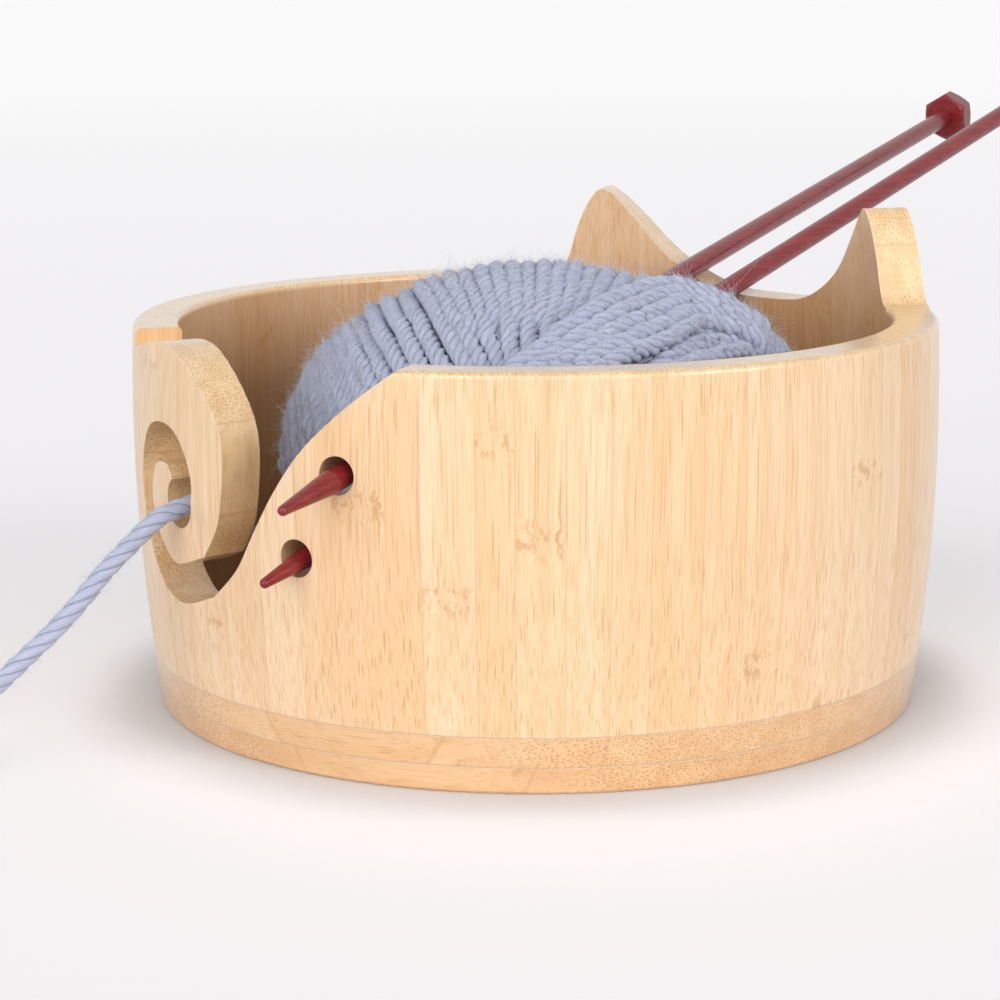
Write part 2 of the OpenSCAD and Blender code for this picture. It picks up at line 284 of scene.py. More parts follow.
@dataclass(frozen=True)
class BambooFinish:
    """Lacquered bamboo, cut from glued strips.

    The fibres are threads that run through the whole piece, so a face along them shows long
    streaks, one that meets them at a slant short dashes, and one across them dots.
    """

    name: str
    run: GrainRun = GrainRun.UPRIGHT
    grain_angle: float = 0.0
    rim_r: float = 80.0
    strip_pair_w: float = math.radians(12) * 80.0
    first_joint: float = math.radians(6) * 80.0
    seams: tuple[float, ...] = (10.9,)
    pale: Colour = (0.905, 0.665, 0.430)
    warm: Colour = (0.850, 0.565, 0.315)
    fibre: Colour = (0.580, 0.270, 0.085)
    # tint of the painted shade inside the bowl
    inside: Colour = (0.700, 0.580, 0.490)
    cut: Colour = (0.870, 0.615, 0.345)
    cut_dark: Colour = (0.780, 0.520, 0.265)
    dot_colour: Colour = (0.440, 0.220, 0.085)
    # colour of the painted highlight on eased edges
    edge: Colour = (0.960, 0.840, 0.680)
    glue: Colour = (0.400, 0.200, 0.070)
    thread_gap: float = 0.70
    dot_gap: float = 0.50
    knuckle_h: float = 3.2
    knuckle_spread: float = 170.0
    knuckle_lowest: float = -50.0
    fibre_wander: float = 2.6
    knuckle_swirl: float = 5.0
    seam_w: float = 0.16
    edge_ease: float = 0.35
    bump_h: float = 0.06
    inside_shade_full_below: float = 62.0
    inside_shade_weak_above: float = 88.0

    def build(self) -> bpy.types.Material:
        """Builds the finish.

        Returns:
            The bamboo material.
        """
        s = NodeSheet(bpy.data.materials.new(self.name))
        x, y, z = s.place()
        upright = self.run is GrainRun.UPRIGHT
        facing = s.node("NewGeometry").outputs["Normal"]
        if upright:
            depth = s.math("SQRT", s.plus(s.times(x, x), s.times(y, y)))
            across = s.times(s.math("ARCTAN2", x, s.times(y, -1.0)), self.rim_r)
            along = z
            outward = s.node("VectorMath", {0: s.vector(x, y, 0.0)}, operation="NORMALIZE").outputs[0]
            turned = s.dot(facing, outward)
            on_face = s.fade(s.math("ABSOLUTE", turned), 0.70, 0.93)
            # Painted shade on the inner faces: darkest low down, least of all on the ears
            inner = s.times(s.fade(turned, -0.93, -0.70, 1.0, 0.0),
                            s.fade(z, self.inside_shade_full_below, self.inside_shade_weak_above, 1.0, 0.35))
            ends = s.fade(s.math("ABSOLUTE", s.dot(facing, (0.0, 0.0, 1.0))), 0.15, 0.75)
        else:
            inner = 0.0
            c, q = math.cos(math.radians(self.grain_angle)), math.sin(math.radians(self.grain_angle))
            along = s.plus(s.times(x, c), s.times(y, q))
            across = s.plus(s.times(y, c), s.times(x, -q))
            depth = z
            ends = s.fade(s.math("ABSOLUTE", s.dot(facing, (c, q, 0.0))), 0.15, 0.50)
            on_face = s.math("SUBTRACT", 1.0, ends)
        # Strips: each pair is parted at a chance place
        pairs = s.math("DIVIDE", s.plus(across, -self.first_joint), self.strip_pair_w)
        pair = s.math("FLOOR", pairs)
        within = s.math("SUBTRACT", pairs, pair)
        parting = s.plus(s.times(s.chance(pair, 0.0), 0.28), 0.36)
        strip = s.plus(s.times(pair, 2.0), s.math("GREATER_THAN", within, parting))
        tone = s.chance(strip, 0.21)
        shift = s.times(s.chance(strip, 40.5), 90.0)
        to_joint = s.times(s.math("ABSOLUTE", s.math("SUBTRACT", pairs, s.math("ROUND", pairs))),
                           self.strip_pair_w)
        to_parting = s.times(s.math("ABSOLUTE", s.math("SUBTRACT", within, parting)), self.strip_pair_w)
        joint_line = s.fade(s.math("MINIMUM", to_joint, to_parting), 0.04, 0.16, 1.0, 0.0)
        # A knuckle of the cane somewhere along each strip
        knuckle_at = s.plus(s.times(s.chance(strip, 7.3), self.knuckle_spread), self.knuckle_lowest)
        knuckle = s.bell(along, knuckle_at, self.knuckle_h)
        # Fibres wander a little, and more at a knuckle
        at = (across, depth, along)
        slow = s.noise(at, (0.06, 0.06, 0.022), shift)
        quick = s.noise(at, (0.55, 0.3, 0.4), detail=3.0)
        bend = s.times(s.plus(slow, -0.5), self.fibre_wander)
        twist = s.times(s.times(s.plus(quick, -0.5), knuckle), self.knuckle_swirl)
        u = s.plus(across, s.plus(bend, twist))
        v = s.plus(s.plus(depth, s.times(s.plus(bend, twist), 0.15)), shift)
        core = s.threads(u, v, self.thread_gap, 0.09, 0.26)
        # Fine streaks and broad bands along the fibres
        at = (u, v, along)
        streak = s.noise(at, (3.2, 3.2, 0.05), shift, detail=3.0)
        band = s.noise(at, (0.30, 0.30, 0.012), shift)
        broken = s.noise(at, (1.5, 1.5, 0.06), shift)
        plain = s.mix(s.math("ADD", s.times(tone, 0.90), s.fade(band, 0.35, 0.65, -0.25, 0.35), clamp=True),
                      self.pale, self.warm)
        plain = s.mix(s.fade(streak, 0.45, 0.75, 0.0, 0.42), plain, self.fibre)
        dash = s.times(s.times(core, s.fade(broken, 0.42, 0.56, 0.05, 0.85)),
                       s.plus(s.times(tone, 0.45), 0.45))
        plain = s.mix(dash, plain, self.fibre)
        # Painted shade inside the bowl
        plain = s.mix(inner, plain, s.mix(1.0, plain, self.inside, "MULTIPLY"))
        cut = s.mix(s.fade(band, 0.35, 0.65), self.cut, self.cut_dark)
        dots = s.times(s.threads(u, v, self.dot_gap, 0.18, 0.42), s.plus(s.times(ends, 0.45), 0.25))
        cut = s.mix(dots, cut, self.dot_colour)
        colour = s.mix(on_face, cut, plain)
        mark = s.math("MULTIPLY", knuckle, s.fade(quick, 0.50, 0.62), clamp=True)
        colour = s.mix(s.times(mark, 0.55), colour, self.fibre)
        colour = s.mix(s.times(joint_line, 0.30), colour, self.fibre)
        for seam in self.seams:
            colour = s.mix(s.times(s.bell(z, seam, self.seam_w), 0.55), colour, self.glue)
        height = s.math("SUBTRACT", s.times(streak, 0.4), s.times(core, 0.5))
        # Sanded edges are round, and a painted highlight makes them pale. The glued joints stay shut: no edge
        # is eased there
        free = s.fade(to_joint, 0.6, 0.9) if upright else 1.0
        eased = s.node("Bevel", {"Radius": self.edge_ease * MM}, samples=6).outputs[0]
        paled = s.times(s.fade(s.dot(eased, facing), 0.86, 0.98, 1.0, 0.0), free)
        colour = s.mix(s.times(paled, 0.75), colour, self.edge)
        base = s.node("Mix", {0: free, 4: facing, 5: eased}, data_type="VECTOR").outputs[1]
        bump = s.node("Bump", {"Strength": 0.22, "Distance": self.bump_h * MM, "Height": height,
                               "Normal": base})
        rough = s.plus(s.times(streak, 0.14), s.fade(on_face, 0.0, 1.0, 0.30, 0.33))
        return s.surface(Base_Color=colour, Roughness=rough, Coat_Weight=s.plus(s.times(ends, 0.45), 0.50),
                         Coat_Roughness=0.20, Normal=bump.outputs[0])


@dataclass(frozen=True)
class NeedleFinish:
    """Burgundy stain under a satin lacquer, on turned wood."""

    name: str = "needle_burgundy"
    deep: Colour = (0.140, 0.008, 0.014)
    warm: Colour = (0.290, 0.022, 0.024)
    bump_h: float = 0.03

    def build(self) -> bpy.types.Material:
        """Builds the finish.

        Returns:
            The needle material.
        """
        s = NodeSheet(bpy.data.materials.new(self.name))
        at = s.place()
        grain = s.noise(at, (1.8, 0.07, 1.4), detail=3.0)
        paled = s.noise(at, (0.25, 0.25, 0.25))
        share = s.math("ADD", s.fade(grain, 0.35, 0.65, 0.0, 0.6), s.times(paled, 0.4), clamp=True)
        bump = s.node("Bump", {"Strength": 0.2, "Distance": self.bump_h * MM, "Height": grain})
        rough = s.plus(s.times(paled, 0.14), 0.18)
        return s.surface(Base_Color=s.mix(share, self.deep, self.warm), Roughness=rough,
                         Specular_IOR_Level=0.4, Normal=bump.outputs[0])


@dataclass(frozen=True)
class YarnFinish:
    """Soft periwinkle wool with a fine felted surface."""

    name: str = "yarn_periwinkle"
    light: Colour = (0.670, 0.725, 0.900)
    deep: Colour = (0.430, 0.475, 0.660)
    shade: Colour = (0.180, 0.200, 0.320)
    sheen_tint: Colour = (0.88, 0.90, 1.0)
    bump_h: float = 0.45

    def build(self) -> bpy.types.Material:
        """Builds the finish.

        Returns:
            The yarn material.
        """
        s = NodeSheet(bpy.data.materials.new(self.name))
        at = s.place()
        felt = s.noise(at, (3.4, 3.4, 3.4), detail=4.0, roughness=0.75)
        cloud = s.noise(at, (0.10, 0.10, 0.10))
        # Fibres run along each ply, and the grooves between the plies lie in shade
        place = s.node("Attribute", attribute_name=PLY_PLACE).outputs["Vector"]
        spot = list(s.node("SeparateXYZ", {"Vector": place}).outputs)
        fibres = s.noise(spot, (7.0, 7.0, 0.45), detail=3.0)
        both = s.times(spot[0], spot[1])
        groove = s.fade(s.times(both, both), 0.20, 0.25)
        share = s.math("ADD", s.fade(felt, 0.3, 0.7, 0.0, 0.45), s.times(cloud, 0.15), clamp=True)
        share = s.math("ADD", share, s.fade(fibres, 0.3, 0.7, 0.0, 0.4), clamp=True)
        colour = s.mix(s.times(groove, 0.60), s.mix(share, self.deep, self.light), self.shade)
        height = s.plus(s.times(felt, 0.7), s.times(fibres, 0.6))
        bump = s.node("Bump", {"Strength": 0.9, "Distance": self.bump_h * MM, "Height": height})
        return s.surface(Base_Color=colour, Roughness=0.95, Sheen_Weight=0.35,
                         Sheen_Roughness=0.6, Sheen_Tint=self.sheen_tint, Normal=bump.outputs[0])


@dataclass
class Finishes:
    """All finishes, each built once."""

    wall: bpy.types.Material
    upper_ply: bpy.types.Material
    lower_ply: bpy.types.Material
    needle: bpy.types.Material
    yarn: bpy.types.Material
    yarn_shade: bpy.types.Material
    yarn_fluff: bpy.types.Material

    @classmethod
    def build(cls) -> "Finishes":
        """Builds every finish.

        Returns:
            The finishes.
        """
        upper = BambooFinish("bamboo_upper_ply", GrainRun.LEVEL, 18.5, strip_pair_w=21.0, seams=(5.2, 10.9),
                             pale=(0.830, 0.560, 0.320), warm=(0.770, 0.480, 0.250),
                             cut=(0.820, 0.530, 0.285), cut_dark=(0.760, 0.460, 0.225))
        lower = BambooFinish("bamboo_lower_ply", GrainRun.LEVEL, 27.0, strip_pair_w=24.0, seams=(5.2,),
                             pale=(0.800, 0.525, 0.290), warm=(0.740, 0.450, 0.225),
                             cut=(0.790, 0.495, 0.255), cut_dark=(0.730, 0.425, 0.200))
        return cls(
            wall=BambooFinish("bamboo_upright").build(),
            upper_ply=upper.build(),
            lower_ply=lower.build(),
            needle=NeedleFinish().build(),
            yarn=YarnFinish().build(),
            yarn_shade=YarnFinish("yarn_in_shade", (0.200, 0.220, 0.320), (0.100, 0.110, 0.180)).build(),
            # a paler copy of the yarn for the loose hairs: a painted halo of light
            yarn_fluff=YarnFinish("yarn_fluff", (0.850, 0.870, 0.950), (0.680, 0.710, 0.840)).build(),
        )


def dress(obj: bpy.types.Object, material: bpy.types.Material) -> None:
    """Gives an object one material.

    Args:
        obj: the object.
        material: its finish.
    """
    obj.data.materials.clear()
    obj.data.materials.append(material)


@dataclass
class PhotoCamera:
    """The camera at the photograph's place and angle."""

    place: Point = (369.28, -375.79, 145.87)
    heading: float = 44.5
    yaw: float = -0.7855
    pitch: float = 11.5531
    roll: float = 0.3349
    lens: float = 95.04
    sensor: float = 36.0
    clip_start: float = 10.0

    def axes(self) -> tuple[Vector, Vector, Vector]:
        """Works out how the camera is turned.

        Returns:
            The picture's right, its up and the camera's line of sight.
        """
        yaw, pitch, roll = (math.radians(a) for a in (self.yaw, self.pitch, self.roll))
        ahead = Vector((math.sin(yaw) * math.cos(pitch), math.cos(yaw) * math.cos(pitch), -math.sin(pitch)))
        level = Vector((math.cos(yaw), -math.sin(yaw), 0.0))
        rise = level.cross(ahead)
        right = level * math.cos(roll) - rise * math.sin(roll)
        up = level * math.sin(roll) + rise * math.cos(roll)
        turn = Matrix.Rotation(math.radians(self.heading), 3, "Z")
        return turn @ right, turn @ up, turn @ ahead

    def build(self) -> None:
        """Builds the scene's camera."""
        right, up, ahead = self.axes()
        data = bpy.data.cameras.new("photo_camera")
        data.lens = self.lens
        data.sensor_width = self.sensor
        data.clip_start = self.clip_start * MM
        camera = place_object("photo_camera", data)
        stand = Matrix((right, up, -ahead)).transposed().to_4x4()
        camera.matrix_world = Matrix.Translation(Vector(self.place) * MM) @ stand
        bpy.context.scene.camera = camera


@dataclass(frozen=True)
class SoftLamp:
    """A broad, far lamp that lights the whole table alike.

    Its bearing is measured from the camera's side of the bowl, towards the picture's right.
    """

    name: str
    bearing: float
    height: float
    spread: float
    power: float
    colour: Colour = (1.0, 1.0, 1.0)

    def build(self, heading: float) -> None:
        """Hangs the lamp.

        Args:
            heading: angle of the camera's side round the bowl, in degrees.
        """
        data = bpy.data.lights.new(self.name, "SUN")
        data.angle = math.radians(self.spread)
        data.energy = self.power
        data.color = self.colour
        lamp = place_object(self.name, data)
        side, rise = math.radians(heading + self.bearing), math.radians(self.height)
        source = Vector((math.sin(side) * math.cos(rise), -math.cos(side) * math.cos(rise), math.sin(rise)))
        lamp.location = source
        lamp.rotation_euler = source.to_track_quat("Z", "Y").to_euler()


@dataclass
class Studio:
    """A pale table that runs to the horizon, soft lamps and an even white surround.

    The table's size is in metres, because it runs so far.
    """

    heading: float = 44.5
    floor_seen: Colour = (0.620, 0.612, 0.625)
    floor_bounce: Colour = (0.780, 0.770, 0.775)
    near_glow: Colour = (0.425, 0.420, 0.430)
    far_glow: Colour = (0.500, 0.502, 0.502)
    near: float = 300.0
    far: float = 3000.0
    glow_reach: float = 32.0
    least_glow: float = 0.20
    surround: float = 0.25
    surround_seen: float = 0.93
    floor_size: float = 40.0
    lamps: tuple[SoftLamp, ...] = (
        SoftLamp("left_lamp", -42.0, 22.0, 56.0, 1.62, (1.0, 0.99, 0.975)),
        SoftLamp("right_lamp", 54.0, 20.0, 25.0, 1.30, (1.0, 0.99, 0.985)),
        SoftLamp("front_lamp", 4.0, 30.0, 60.0, 0.95),
    )

    def build(self) -> None:
        """Builds the table, the lamps and the surround."""
        bpy.context.scene.view_settings.view_transform = "Standard"
        for lamp in self.lamps:
            lamp.build(self.heading)
        self.build_floor()
        self.build_surround()

    def build_floor(self) -> None:
        """Builds the table top. Its glow shows to the camera and in reflections only."""
        half = self.floor_size / 2
        corners = [(-half, -half, 0), (half, -half, 0), (half, half, 0), (-half, half, 0)]
        mesh = bpy.data.meshes.new("table_top")
        mesh.from_pydata(corners, [], [(0, 1, 2, 3)])
        floor = place_object("table_top", mesh)
        s = NodeSheet(bpy.data.materials.new("pale_table"))
        seen = s.seen()
        x, y, _ = s.place()
        turn = math.radians(self.heading)
        ahead = s.plus(s.times(x, -math.sin(turn)), s.times(y, math.cos(turn)))
        # The glow stands for light from all round, so it fades close to what stands on the table
        around = s.node("AmbientOcclusion", {"Distance": self.glow_reach * MM}, samples=8).outputs["AO"]
        around = s.fade(around, 0.50, 0.85, self.least_glow, 1.0)
        tint = s.mix(s.fade(ahead, self.near, self.far), self.near_glow, self.far_glow)
        glow = s.node("Emission", {"Color": tint, "Strength": s.times(seen, around)})
        matt = s.node("BsdfDiffuse", {"Color": s.mix(seen, self.floor_bounce, self.floor_seen)})
        both = s.node("AddShader", {0: matt.outputs[0], 1: glow.outputs[0]})
        s.node("OutputMaterial", {"Surface": both.outputs[0]})
        dress(floor, s.owner)

    def build_surround(self) -> None:
        """Builds the white surround."""
        world = bpy.data.worlds.new("white_surround")
        bpy.context.scene.world = world
        s = NodeSheet(world)
        ends = {"Value": s.seen(), "To Min": self.surround, "To Max": self.surround_seen}
        strength = s.node("MapRange", ends).outputs[0]
        glow = s.node("Background", {"Color": (1.0, 1.0, 1.0), "Strength": strength})
        s.node("OutputWorld", {"Surface": glow.outputs[0]})


def run_along(line: np.ndarray) -> np.ndarray:
    """The distance along a line at which each of its points lies."""
    return np.concatenate([[0.0], np.cumsum(np.linalg.norm(np.diff(line, axis=0), axis=1))])


def even_line(line: np.ndarray, spacing: float) -> np.ndarray:
    """Spreads a line's points evenly.

    Args:
        line: the points.
        spacing: distance between the points of the answer.

    Returns:
        The evenly spread points.
    """
    far = run_along(line)
    at = np.linspace(0, far[-1], max(4, round(far[-1] / spacing)) + 1)
    return np.column_stack([np.interp(at, far, line[:, k]) for k in range(3)])


def smooth_line(points: Iterable[Sequence[float]], spacing: float) -> np.ndarray:
    """Draws one smooth line through some points.

    Args:
        points: the points, in millimetres.
        spacing: distance between the points of the answer.

    Returns:
        The line's points, evenly spread.
    """
    p = np.asarray(list(points), float)
    p = np.vstack([2 * p[0] - p[1], p, 2 * p[-1] - p[-2]])
    t = np.linspace(0, 1, 24, endpoint=False)[:, None]
    parts = []
    for a, b, c, d in zip(p, p[1:], p[2:], p[3:]):
        parts.append(0.5 * (2 * b + (c - a) * t + (2 * a - 5 * b + 4 * c - d) * t ** 2
                            + (3 * b - a - 3 * c + d) * t ** 3))
    return even_line(np.vstack([*parts, p[-2:-1]]), spacing)


@dataclass(frozen=True)
class PlyTwist:
    """How a strand of yarn is twisted from its plies."""

    radius: float = 1.95
    plies: int = 4
    pitch: float = 9.5
    ply_r: float = 0.45
    sides: int = 20
    spacing: float = 0.6

    def angles(self) -> np.ndarray:
        """The angles of a ring's points, evenly spread."""
        return np.arange(self.sides) / self.sides * 2 * math.pi

    def outline(self) -> np.ndarray:
        """Draws the outline of a strand that is cut across.

        Returns:
            Its radii at the ring's angles.
        """
        sector = 2 * math.pi / self.plies
        off = (self.angles() + sector / 2) % sector - sector / 2
        out = 1.0 - self.ply_r
        return self.radius * (out * np.cos(off) + np.sqrt(self.ply_r ** 2 - (out * np.sin(off)) ** 2))

    def rings(self, line: np.ndarray, phase: float = 0.0) -> np.ndarray:
        """Rings of points round a centre line.

        Args:
            line: the centre line, evenly spread.
            phase: turns the start of the twist, in radians.

        Returns:
            The rings, as an array of rings by sides by three.
        """
        ahead = unit(np.gradient(line, axis=0))
        side = np.cross(ahead[0], (0.31, 0.22, 0.93))
        sides = np.empty_like(line)
        for i, way in enumerate(ahead):
            side = unit(side - way * side.dot(way))
            sides[i] = side
        ups = np.cross(ahead, sides)
        turn = phase + run_along(line) / self.pitch * 2 * math.pi
        angles = self.angles() + turn[:, None]
        spokes = np.cos(angles)[..., None] * sides[:, None] + np.sin(angles)[..., None] * ups[:, None]
        return line[:, None] + self.outline()[None, :, None] * spokes

    def places(self, count: int, start: float = 0.0) -> np.ndarray:
        """Where each point of the rings lies on the twist: a spot across it and a run along it.

        Args:
            count: number of rings.
            start: the first ring's run.

        Returns:
            The places, as an array of rings by sides by three.
        """
        run = start + np.arange(count) * self.spacing
        spots = np.stack([np.cos(self.angles()), np.sin(self.angles())], axis=-1)
        return np.concatenate([np.broadcast_to(spots, (count, self.sides, 2)),
                               np.broadcast_to(run[:, None, None], (count, self.sides, 1))], axis=-1)


class YarnMesh:
    """Gathers tubes and loose hairs into one mesh."""

    def __init__(self) -> None:
        """Starts empty."""
        self.points: list[np.ndarray] = []
        self.places: list[np.ndarray] = []
        self.faces: list[tuple[int, ...]] = []
        self.count = 0

    def add_tubes(self, rings: np.ndarray, places: Optional[np.ndarray] = None) -> None:
        """Adds tubes of one kind, with closed ends.

        Args:
            rings: their rings, as an array of tubes by rings by sides by three.
            places: where their points lie on the twist.
        """
        self.places.append(np.zeros((rings.size // 3, 3)) if places is None else places.reshape(-1, 3))
        tubes, n, k = rings.shape[:3]
        start = self.count + np.arange(tubes)[:, None, None] * n * k
        side = np.arange(k)
        low = start + np.arange(n - 1)[None, :, None] * k
        after = (side + 1) % k
        quads = np.stack([low + side, low + after, low + k + after, low + k + side], axis=-1)
        self.faces.extend(map(tuple, quads.reshape(-1, 4).tolist()))
        self.faces.extend(map(tuple, (start[:, 0] + side[::-1]).tolist()))
        self.faces.extend(map(tuple, (start[:, 0] + (n - 1) * k + side).tolist()))
        self.points.append(rings.reshape(-1, 3))
        self.count += tubes * n * k

    def add_hairs(self, roots: np.ndarray, ways: np.ndarray, bends: np.ndarray, lengths: np.ndarray,
                  thick: float, steps: int) -> None:
        """Adds loose hairs that taper and bend.

        Args:
            roots: where they start.
            ways: the directions in which they start.
            bends: the directions to which they bend.
            lengths: their lengths.
            thick: their radius at the root.
            steps: rings of each.
        """
        t = np.linspace(0, 1, steps)[None, :, None]
        line = roots[:, None] + lengths[:, None, None] * (t * ways[:, None] + t ** 2 * bends[:, None])
        ahead = unit(np.gradient(line, axis=1))
        side = unit(np.cross(ahead, (0.2, 0.5, 0.84)))
        up = np.cross(ahead, side)
        angles = np.arange(3) * 2 * math.pi / 3
        spokes = np.cos(angles)[:, None] * side[:, :, None] + np.sin(angles)[:, None] * up[:, :, None]
        self.add_tubes(line[:, :, None] + (thick * (1 - 0.7 * t))[..., None] * spokes)

    def build(self, name: str, material: bpy.types.Material, *nodes: str) -> bpy.types.Object:
        """Makes the object, which rides on the bowl.

        Args:
            name: its name.
            material: its finish.
            nodes: the solids that it stands for.

        Returns:
            The object, in metres.
        """
        mesh = bpy.data.meshes.new(name)
        mesh.from_pydata((np.vstack(self.points) * MM).tolist(), [], self.faces)
        mesh.polygons.foreach_set("use_smooth", [True] * len(mesh.polygons))
        marks = mesh.attributes.new(PLY_PLACE, "FLOAT_VECTOR", "POINT")
        marks.data.foreach_set("vector", np.vstack(self.places).astype(np.float32).ravel())
        mesh.update()
        obj = place_object(name, mesh)
        dress(obj, material)
        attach(obj, BOWL_BODY)
        if nodes:
            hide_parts(*nodes)
        return obj


@dataclass
class FreeEnd:
    """The strand through the guide, its fall to the table and the spare turns beside the bowl."""

    finish: bpy.types.Material
    yarn_d: float = 3.6
    lead_foot: Point = (-9.71634, -49.9862, 56.0)
    guide_exit: Point = (-16.1813, -79.8249, 45.6)
    inner_route: tuple[Point, ...] = (
        (-6, -38, 27), (-9.5, -47, 28.5), (-11.5, -55, 31.5), (-12.3, -61, 36), (-13.2, -66, 41))
    wall: float = 10.0
    fall: tuple[Point, ...] = (
        (-19, -88, 40), (-21, -93, 35), (-22.5, -97.5, 30), (-24, -102, 25.5), (-26, -107, 21),
        (-28, -112, 16.5), (-30, -117.5, 12), (-32, -123, 7.8), (-34.2, -129.2, 4.2), (-36.4, -135.6, 2.4))
    coil_middle: tuple[float, float] = (-64.0, -136.0)
    coil_r: float = 26.0
    coil_turns: float = 3.0
    coil_steps: int = 24
    coil_gap: float = 0.6
    entry_angle: float = -20.0
    twist: PlyTwist = PlyTwist(radius=1.8, pitch=15.0, ply_r=0.60, sides=24, spacing=0.45)
    hairs_per_mm: float = 40.0
    hairy_length: float = 110.0
    hair_r: float = 0.035

    def exit_way(self) -> np.ndarray:
        """The direction in which the yarn leaves the guide."""
        return unit(np.array(self.guide_exit) - np.array(self.lead_foot))

    def lead_line(self, spacing: float) -> np.ndarray:
        """The strand between the skein and the guide's exit.

        Args:
            spacing: distance between its points.

        Returns:
            Its centre line, from the skein outwards.
        """
        out = np.array(self.guide_exit)
        rest = out - self.wall * self.exit_way() * (1, 1, 0.3)
        return smooth_line([*self.inner_route, rest, out - 1.5 * self.exit_way(), out], spacing)

    def tail_line(self, spacing: float) -> np.ndarray:
        """The free end from the guide's exit to its cut end.

        Args:
            spacing: distance between its points.

        Returns:
            Its centre line.
        """
        z = self.yarn_d / 2 + 0.05
        a = math.radians(self.entry_angle)
        middle = np.array([*self.coil_middle, z])
        turns = np.arange(round(self.coil_steps * self.coil_turns) + 1) / self.coil_steps
        r = self.coil_r - (self.yarn_d + self.coil_gap) * turns
        b = a - 2 * math.pi * turns
        coil = middle + np.column_stack([r * np.cos(b), r * np.sin(b), 0 * b])
        heading = np.array([math.sin(a), -math.cos(a), 0.0])
        start = np.array(self.guide_exit)
        end = coil[-1] + self.yarn_d * unit(coil[-1] - coil[-2])
        first, last = start + self.yarn_d * self.exit_way(), coil[0] - self.yarn_d * heading
        return smooth_line([start, first, *self.fall, last, *coil, end], spacing)

    def build(self) -> None:
        """Builds the strand through the guide and the free end, twisted as one."""
        lead, tail = self.lead_line(self.twist.spacing), self.tail_line(self.twist.spacing)
        line = np.vstack([lead, tail[1:]])
        rings, places = self.twist.rings(line), self.twist.places(len(line))
        # Each piece goes one ring on, drawn in a little, inside the other
        joint, drawn_in = len(lead), 0.03
        inner_rings, outer_rings = rings[:joint + 1].copy(), rings[joint - 2:].copy()
        for ring in (inner_rings[-1], outer_rings[0]):
            ring += (ring.mean(0) - ring) * drawn_in
        inner, outer = YarnMesh(), YarnMesh()
        inner.add_tubes(inner_rings[None], places[:joint + 1])
        outer.add_tubes(outer_rings[None], places[joint - 2:])
        inner.build("yarn_guide_strand", self.finish, "yarn_lead")
        free = outer.build("yarn_free_end", self.finish, "yarn_tail", "yarn_coil")
        fuzz = self.build_fuzz(tail)

    def build_fuzz(self, line: np.ndarray) -> bpy.types.Object:
        """Builds loose hairs along the free end.

        Args:
            line: its centre line.

        Returns:
            The hairs' object.
        """
        rng = np.random.default_rng(5)
        count = int(self.hairs_per_mm * self.hairy_length)
        picks = line[rng.integers(2, int(self.hairy_length / self.twist.spacing), count)]
        ways = unit(rng.normal(0, 1, (count, 3)))
        mesh = YarnMesh()
        mesh.add_hairs(picks + ways * self.yarn_d * 0.36, unit(ways + rng.normal(0, 0.6, (count, 3))),
                       rng.normal(0, 0.6, (count, 3)), rng.uniform(0.4, 1.3, count), self.hair_r, 4)
        return mesh.build("yarn_free_end_fuzz", self.finish)


@dataclass(frozen=True)
class NeedleRoom:
    """Room that the two needles keep free in the skein."""

    points: tuple[Point, ...] = ((24.4647, -72.0114, 57.4), (16.1662, -74.0296, 41.5))
    ways: tuple[Point, ...] = ((-0.282034, 0.948429, 0.144702), (-0.15353, 0.961849, 0.226439))
    needle_r: float = 2.25
    gap: float = 0.15

    def clear(self, line: np.ndarray, radius: float) -> np.ndarray:
        """Moves points sideways, clear of the needles.

        Args:
            line: the centre line of a strand.
            radius: the strand's radius.

        Returns:
            The moved points.
        """
        moved = line.copy()
        least = self.needle_r + radius + self.gap
        for point, way in zip(np.array(self.points), np.array(self.ways)):
            rel = moved - point
            off = rel - np.outer(rel @ way, way)
            far = np.linalg.norm(off, axis=1)
            moved += off * (np.where(far < least, least / np.maximum(far, 1e-6), 1.0) - 1.0)[:, None]
        return moved


@dataclass(frozen=True)
class YarnBand:
    """A band of strands that lies over the rest, between an upper and a lower line."""

    strands: int
    lift: float
    upper: tuple[Point, ...]
    lower: tuple[Point, ...]

    def edges(self, count: int) -> tuple[np.ndarray, np.ndarray]:
        """The band's two edge lines.

        Args:
            count: number of points of each.

        Returns:
            The upper and the lower line.
        """
        t = np.linspace(0, 1, count)
        lines = [smooth_line(points, 1.0) for points in (self.upper, self.lower)]
        spread = [np.column_stack([np.interp(t, np.linspace(0, 1, len(p)), p[:, k]) for k in range(3)])
                  for p in lines]
        return spread[0], spread[1]


@dataclass(frozen=True)
class HairKind:
    """One kind of loose hair: how many there are, how long they get and their rings."""

    count: int
    least: float
    most: float
    steps: int
    radius: float = 0.040


